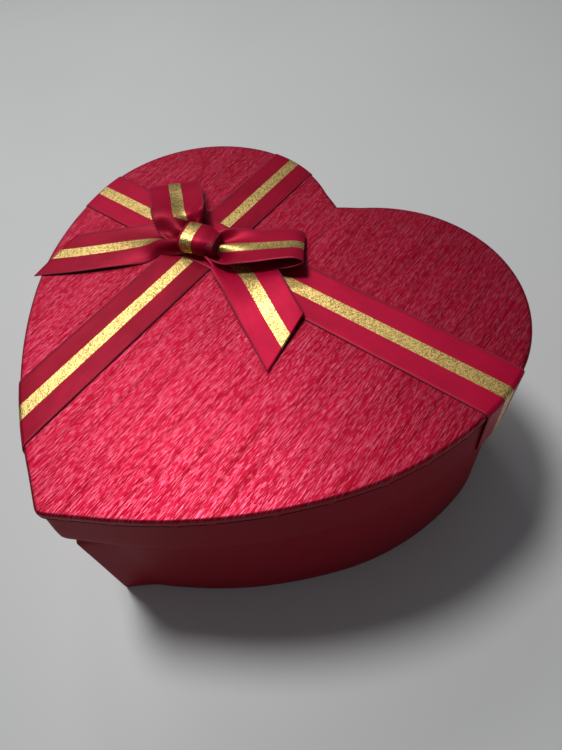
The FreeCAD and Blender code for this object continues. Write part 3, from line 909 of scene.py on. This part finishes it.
def long_ribbon(name, axis, middle, lift, rows_on_top, replaced, painted_sheen):
    """A ribbon over the lid. Axis 0 lies along Y at x = middle, axis 1 along X at y = middle."""
    top = lid_top + lying_gap
    under = rim_bottom - turn_gap
    end_path = rounded_path(
        [(-tuck_inset, rim_bottom + tuck_height), (-tuck_inset, under), (0.0, under),
         (end_stand_off, top), (-top_run, top)],
        end_folds, step=3 * MM)
    travel = [0.0]
    for before, point in zip(end_path[::-1], end_path[-2::-1]):
        travel.append(travel[-1] + abs(min(point.y, lean_starts) - min(before.y, lean_starts)))
    travel.reverse()
    normals = [outline_at(axis, middle, 0, far)[1] for far in (False, True)]
    across_sign = 1 if axis == 0 else -1

    def end_point(i, n, far):
        offset, height = end_path[n]
        sideways = middle + across_sign * (i / across_points - 0.5) * ribbon_width
        sideways += -normals[far][axis] * travel[n]
        place = outline_at(axis, sideways, offset, far)[0]
        return Vector((sideways, place, height) if axis == 0 else (place, sideways, height))

    last = len(end_path) - 1

    def place(i, k):
        if k <= last:
            return end_point(i, k, False)
        if k >= last + rows_on_top:
            return end_point(i, 2 * last + rows_on_top - k, True)
        start, stop = end_point(i, last, False), end_point(i, last, True)
        spot = start.lerp(stop, (k - last) / rows_on_top)
        spot.z = lid_top + lift(spot)
        return spot

    rows = 2 * last + rows_on_top
    middle_line = [place(across_points // 2, k) for k in range(rows + 1)]
    along = square_rows(run_lengths(middle_line))
    ribbon_piece(name, rows, place, along, replaced, painted_sheen)


print("ribbons cross in mm at:", round(lengthwise_x / MM, 1), round(cross_y / MM, 1))

# %% [markdown]
# The lengthwise ribbon lies on the paper, the cross ribbon on it and over the lengthwise one, where it
# steps up by a ribbon's thickness. Neither is quite flat: slow noise lifts them by tenths of a millimetre.

# %% The two long ribbons
step_up = 0.42 * MM
step_length = 6.0 * MM
ripple_height = 0.25 * MM
ripples_per_metre = 60


def ripple(spot, layer):
    flat = spot * ripples_per_metre
    return (0.5 + 0.5 * noise.noise(Vector((flat.x, flat.y, layer)))) * ripple_height


def lengthwise_lift(spot):
    return lying_gap + ripple(spot, 1.0)


def cross_lift(spot):
    beside = max(0.0, abs(spot.x - lengthwise_x) - ribbon_width / 2) / step_length
    return lying_gap + ripple(spot, 2.0) + step_up * max(0.0, 1 - beside) ** 2


# The last number of each ribbon is its painted sheen: how light its satin looks.
long_ribbon(
    "ribbon_lengthwise", axis=0, middle=lengthwise_x, lift=lengthwise_lift, rows_on_top=60,
    replaced=["lengthwise_ribbon", "lengthwise_ribbon_stripe"], painted_sheen=0.28)
long_ribbon(
    "ribbon_across", axis=1, middle=cross_y, lift=cross_lift, rows_on_top=80,
    replaced=["cross_ribbon", "cross_ribbon_stripe"], painted_sheen=0.62)

# %% [markdown]
# The bow's strips are shaped by a few stations: where the middle of the ribbon is, which way its width
# points, and how strongly it is pleated. Pleating bends the strip across its width by a wave of slopes.
# Slopes turn without stretching, so a strip that is gathered at the knot still has its full width of cloth.
# A cloth simulation could drape a bow, but not this very one, so the stations are listed.

# %% Pleated strips
def through(stations, t):
    """A smooth curve through the stations' numbers, with t from 0 to 1."""
    last = len(stations) - 1
    i = min(int(t * last), last - 1)
    f = t * last - i
    four = [stations[min(max(i + k, 0), last)] for k in (-1, 0, 1, 2)]
    return [
        0.5 * (2 * q + (r - p) * f + (2 * p - 5 * q + 4 * r - s) * f**2 + (3 * q - p - 3 * r + s) * f**3)
        for p, q, r, s in zip(*four)
    ]


def pleated(broad, fine, valley, count):
    """Sideways and upward places of points across a ribbon whose slopes form a broad and a fine wave."""
    step = ribbon_width / count
    sideways, heights = [0.0], [0.0]
    for n in range(count):
        u = (n + 0.5) / count - 0.5 - valley
        slope = broad * math.sin(math.tau * u) + fine * math.sin(2 * math.tau * u)
        sideways.append(sideways[-1] + step * math.cos(slope))
        heights.append(heights[-1] + step * math.sin(slope))
    middle = count // 2
    return [(s - sideways[middle], h - heights[middle]) for s, h in zip(sideways, heights)]


def bow_strip(name, stations, valley, rows, replaced, painted_sheen, slant=0.0, tucked_row=None):
    """A strip through stations of x, y, z over the lid in mm, width direction, broad and fine pleats.

    The strip's right edge, seen along it, lies in the width direction. A slant cuts its end askew.
    """
    samples = [through(stations, k / rows) for k in range(rows + 1)]
    spots = [Vector(sample[:3]) * MM + Vector((0, 0, lid_top)) for sample in samples]
    lengths = run_lengths(spots)
    full_length = lengths[-1]
    grid = []
    along = []
    for k, sample in enumerate(samples):
        tangent = (spots[min(k + 1, rows)] - spots[max(k - 1, 0)]).normalized()
        wide = Vector(sample[3:6])
        wide = (wide - tangent * wide.dot(tangent)).normalized()
        lift = wide.cross(tangent)
        section = pleated(sample[6], sample[7], valley, across_points)
        row = []
        row_along = []
        for i, (sideways, height) in enumerate(section):
            extra = slant * (i / across_points - 0.5) * ribbon_width * (lengths[k] / full_length) ** 3
            row.append(spots[k] + wide * sideways + lift * height + tangent * extra)
            row_along.append(lengths[k] + extra)
        grid.append(row)
        along.append(row_along)
    ribbon_piece(
        name, rows, lambda i, k: grid[k][i], along, replaced, painted_sheen,
        tucked_row)


gathered_row = pleated(0.1, 1.85, 0.0, across_points)
print("width of a gathered ribbon in mm:", round((gathered_row[-1][0] - gathered_row[0][0]) / MM, 1))

# %% [markdown]
# Each loop leaves the knot low, bends round at its end and comes back high. The right loop leans: its near
# edge stands higher than its far edge, and the stripe lies in a shallow dip. The back loop is flat and is
# pinched hard where it enters the knot; there its stripe ends on a slant, as if swallowed by the fold, and a
# painted shade darkens the tucked part.

# %% Loops
# The last number of each loop is its painted sheen: how light its satin looks.
bow_strip(
    "bow_loop_right",
    [(-32.0, 24.6, 2.4, -0.36, 0.9, 0.0, 0.1, 1.85), (-22.4, 31.0, 2.4, -0.5, 0.86, -0.04, 0.3, 0.8),
     (-9.6, 39.2, 2.4, -0.55, 0.83, -0.12, 0.25, 0.05), (2.3, 44.5, 3.2, -0.55, 0.83, -0.24, 0.05, 0.0),
     (6.4, 47.7, 5.0, -0.57, 0.82, -0.28, 0.0, 0.0), (3.4, 46.2, 6.8, -0.56, 0.83, -0.28, 0.05, 0.0),
     (-4.0, 41.5, 6.4, -0.58, 0.8, -0.24, 0.08, 0.0), (-11.2, 36.7, 5.9, -0.6, 0.79, -0.2, 0.05, 0.0),
     (-19.2, 32.5, 5.5, -0.55, 0.82, -0.08, 0.02, -0.4), (-26.2, 28.6, 5.2, -0.36, 0.92, 0.2, 0.0, -1.15),
     (-32.0, 26.4, 4.2, -0.3, 0.94, 0.35, 0.0, -1.65)],
    valley=0.0, rows=80,
    replaced=["bow_right_loop", "bow_right_loop_stripe"], painted_sheen=0.5)
bow_strip(
    "bow_loop_back",
    [(-37.5, 27.0, 2.0, -0.4, -0.9, 0.0, 0.1, 1.85), (-47.4, 30.0, 2.0, -0.62, -0.78, 0.0, 0.2, 0.9),
     (-60.6, 37.6, 1.9, -0.72, -0.69, 0.0, 0.1, 0.2), (-69.4, 45.6, 2.3, -0.72, -0.69, 0.0, 0.0, 0.0),
     (-72.9, 49.2, 5.0, -0.72, -0.69, 0.0, 0.0, 0.0), (-69.8, 46.6, 7.8, -0.74, -0.67, 0.0, 0.1, 0.0),
     (-60.8, 39.0, 8.6, -0.81, -0.58, 0.0, 0.18, 0.0), (-52.4, 31.8, 9.3, -0.87, -0.49, 0.02, 0.3, 0.1),
     (-46.6, 28.9, 6.2, -0.62, -0.78, 0.02, 0.35, 0.8), (-42.2, 27.8, 4.8, -0.34, -0.94, 0.0, 0.25, 1.45),
     (-37.5, 26.8, 4.8, -0.3, -0.95, 0.0, 0.2, 1.75)],
    valley=-0.14, rows=80,
    replaced=["bow_back_loop", "bow_back_loop_stripe"], painted_sheen=0.5, tucked_row=59)

# %% [markdown]
# The tails lie on the lid. Scissors cut their ends on the slant. The left one comes out of the knot with a
# ridge along its near side, which hides the stripe there, and its end reaches past the lid's edge and
# droops a little.

# %% Tails
# The number after the replaced parts is each tail's painted sheen: how light its satin looks.
bow_strip(
    "bow_tail_left",
    [(-36.5, 23.6, 4.6, -0.3, 0.95, 0.0, 0.8, -1.5), (-45.4, 21.4, 4.2, -0.4, 0.91, 0.1, 0.95, -0.7),
     (-53.6, 19.0, 3.2, -0.62, 0.78, 0.1, 0.8, -0.3), (-60.8, 13.8, 1.9, -0.7, 0.71, 0.05, 0.25, -0.05),
     (-70.6, 4.5, 1.8, -0.68, 0.73, 0.0, 0.05, 0.0), (-81.2, -5.0, 1.5, -0.64, 0.77, 0.0, 0.03, 0.0),
     (-92.0, -13.4, 0.9, -0.62, 0.78, 0.0, 0.03, 0.0)],
    valley=0.32, rows=54,
    replaced=["bow_left_tail", "bow_left_tail_stripe"], painted_sheen=0.32, slant=-0.62)
bow_strip(
    "bow_tail_front",
    [(-32.0, 24.6, 3.8, -0.36, -0.93, 0.0, 0.1, 1.8), (-22.5, 27.6, 2.5, -0.44, -0.9, 0.0, 0.2, 0.8),
     (-9.0, 24.5, 2.4, -0.475, -0.88, -0.03, 0.08, 0.15), (3.3, 18.0, 3.7, -0.475, -0.88, -0.12, 0.03, 0.0),
     (15.8, 11.3, 2.6, -0.475, -0.88, -0.12, 0.03, 0.0), (28.9, 4.6, 1.7, -0.475, -0.88, -0.04, 0.03, 0.0)],
    valley=0.2, rows=44,
    replaced=["bow_front_tail", "bow_front_tail_stripe"], painted_sheen=0.8, slant=0.72)

# %% [markdown]
# The knot is a short band of the same ribbon, wrapped once round the gathered middle. It is folded
# lengthwise, so the stripe shows near its left edge and plain satin to the right of it. Its rows go round a
# flattened oval that tightens to the right, which is easier to steer than stations. The oval is given in
# millimetres over the lid, as the stations are.

# %% Knot band
knot_middle = Vector((-34.6, 26.9, 5.8))
knot_axis = unit(math.radians(15.0))
knot_half_depth = 7.6
knot_half_height = 4.8
knot_roundness = 0.75
knot_taper = 0.38
taper_length = 9.0 * MM
knot_rows = 40
knot_fold = 3.6 * MM
fold_length = 3.0 * MM
fold_turn = math.radians(172)
stripe_side = 4.6 * MM
measured_thread = 14


def knot_section():
    """Places across the band: flat from its right edge to the fold, then turned under."""
    step = ribbon_width / across_points
    section = []
    sideways, height = -stripe_side + ribbon_width / 2, 0.0
    for n in range(across_points, -1, -1):
        section.append((sideways, height))
        u = (n - 0.5) * step - ribbon_width / 2
        turn_share = min(max((-knot_fold - u) / fold_length, 0.0), 1.0)
        slope = turn_share * fold_turn
        sideways -= step * math.cos(slope)
        height -= step * math.sin(slope)
    return section[::-1]


def knot_point(i, k):
    angle = -math.tau * k / knot_rows - math.pi / 2
    side = Vector((-knot_axis.y, knot_axis.x, 0))
    c, s = math.cos(angle), math.sin(angle)
    out_y = math.copysign(abs(c) ** knot_roundness, c) * knot_half_depth
    out_z = math.copysign(abs(s) ** knot_roundness, s) * knot_half_height
    outward = (side * c + Vector((0, 0, s))).normalized()
    sideways, height = knot_band_section[i]
    tight = 1 - knot_taper * eased(sideways, 0.0, taper_length)
    spot = knot_middle + side * (out_y * tight) + Vector((0, 0, out_z * tight))
    return spot * MM + Vector((0, 0, lid_top)) + knot_axis * sideways + outward * height


knot_band_section = knot_section()
knot_lengths = run_lengths([knot_point(measured_thread, k) for k in range(knot_rows + 1)])
# The knot's last number is its painted sheen: how light its satin looks.
ribbon_piece(
    "bow_knot", knot_rows, knot_point, square_rows(knot_lengths),
    ["bow_knot_band", "bow_knot_band_stripe"], painted_sheen=0.45)

# %% [markdown]
# The gather inside the knot is the frame's own piece. Only slivers of it show, in plain satin that is
# mapped by place because the frame's mesh has no ribbon map.

# %% Gather
pleats_per_metre = (120, 900, 900)
pleat_dark = (0.10, 0.002, 0.012, 1)
pleat_red = (0.26, 0.005, 0.03, 1)

gathered, tree, shader = new_material("gathered_satin", Roughness=0.5, Specular_IOR_Level=0.1)
where = object_place(tree)
pleats = stretched_noise(tree, pleats_per_metre, 2.0, where)
feed(tree, shader, Base_Color=colour_mix(tree, pleats, pleat_dark, pleat_red))
bump(tree, shader, pleats, 0.6, 0.0008)
frame["nodes"]["bow_gather"].data.materials.clear()
frame["nodes"]["bow_gather"].data.materials.append(gathered)
print("gather:", gathered.name)
